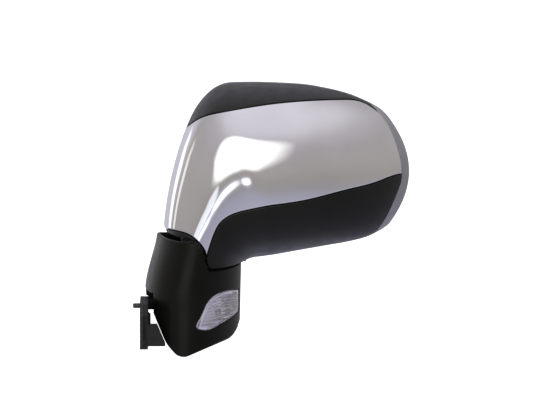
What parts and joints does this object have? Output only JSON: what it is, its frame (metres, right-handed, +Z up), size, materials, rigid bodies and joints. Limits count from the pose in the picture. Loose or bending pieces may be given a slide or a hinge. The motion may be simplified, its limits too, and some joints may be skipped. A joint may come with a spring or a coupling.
{
  "type": "car door mirror",
  "caption": "Left-hand power-folding car door mirror: a shell head with a bright band swings on a foot that carries a turn indicator, and its heated glass tilts both ways.",
  "frame": {"origin": "centre of the bolt circle, on the face of the foot that meets the door", "axes": "+X straight out from the door, +Y to the rear of the car, the way the glass faces, +Z up"},
  "size_m": [0.2777, 0.1134, 0.275],
  "materials": {
    "black_plastic": "fine-grained moulded plastic",
    "chrome_band": "bright plated plastic",
    "grey_plastic": "smooth satin plastic",
    "cast_aluminium": "as die cast",
    "foam": "closed-cell foam",
    "rubber": "moulded rubber",
    "clear_lens": "clear fluted plastic",
    "reflector": "metallised plastic",
    "bulb_glass": "amber lacquered glass",
    "white_plastic": "natural moulding",
    "steel": "turned and zinc plated",
    "zinc_screws": "zinc plated",
    "spring_steel": "phosphated spring wire",
    "filled_nylon": "glass-filled nylon",
    "motor_can": "drawn steel can",
    "heater_film": "printed heating film",
    "mirror": "silvered glass"
  },
  "bodies": {
    "foot": {"foot_cover": "black_plastic", "base_bracket": "cast_aluminium", "cover_screws": "zinc_screws", "door_gasket": "foam", "cable_grommet": "rubber", "locating_peg": "filled_nylon", "base_tray": "black_plastic", "indicator_lens": "clear_lens", "indicator_housing": "reflector", "bulb_holder": "white_plastic", "indicator_bulb": "bulb_glass", "pivot_shaft": "steel", "shaft_screws": "zinc_screws", "detent_ring": "steel", "fold_gear": "steel", "thrust_washer": "steel", "fold_spring": "spring_steel", "spring_retainer": "steel"},
    "head": {"fold_case": "filled_nylon", "fold_case_lid": "filled_nylon", "fold_case_screws": "zinc_screws", "fold_motor": "motor_can", "head_carrier": "filled_nylon", "carrier_screws": "zinc_screws", "housing_screws": "zinc_screws", "lower_housing": "black_plastic", "upper_housing": "black_plastic", "chrome_cover": "chrome_band", "bezel": "grey_plastic", "actuator_case": "filled_nylon", "actuator_cover": "filled_nylon", "actuator_screws": "zinc_screws", "tilt_motor": "motor_can", "pan_motor": "motor_can"},
    "fold_drive": {"fold_pinion": "steel"},
    "gimbal": {"pivot_cross": "steel"},
    "glass": {"glass_backing": "filled_nylon", "heater_pad": "heater_film", "mirror_glass": "mirror"},
    "tilt_rod": {"tilt_plunger": "white_plastic"},
    "pan_rod": {"pan_plunger": "white_plastic"}
  },
  "joints": [
    {"name": "head_fold", "type": "hinge", "parent": "foot", "child": "head", "pos_m": [0.06, 0.008, 0], "axis": [0, 0, 1], "range_deg": [0, 62]},
    {"name": "fold_pinion_spin", "type": "hinge", "parent": "head", "child": "fold_drive", "pos_m": [0.05, 0.02532, 0], "axis": [0, 0, 1], "range_deg": [0, 186]},
    {"name": "glass_tilt", "type": "hinge", "parent": "head", "child": "gimbal", "pos_m": [0.155, 0.032, 0.152], "axis": [1, 0, 0], "range_deg": [-4.5, 4.5]},
    {"name": "glass_pan", "type": "hinge", "parent": "gimbal", "child": "glass", "pos_m": [0.155, 0.032, 0.152], "axis": [0, 0, 1], "range_deg": [-4.5, 4.5]},
    {"name": "tilt_rod_slide", "type": "slide", "parent": "head", "child": "tilt_rod", "axis": [0, 1, 0], "range_m": [-0.00236, 0.00236]},
    {"name": "pan_rod_slide", "type": "slide", "parent": "head", "child": "pan_rod", "axis": [0, 1, 0], "range_m": [-0.00236, 0.00236]}
  ],
  "couplings": [
    {"joint": "fold_pinion_spin", "follows": "head_fold", "ratio": 3},
    {"joint": "tilt_rod_slide", "follows": "glass_tilt", "m_per_rad": 0.03},
    {"joint": "pan_rod_slide", "follows": "glass_pan", "m_per_rad": 0.03}
  ]
}
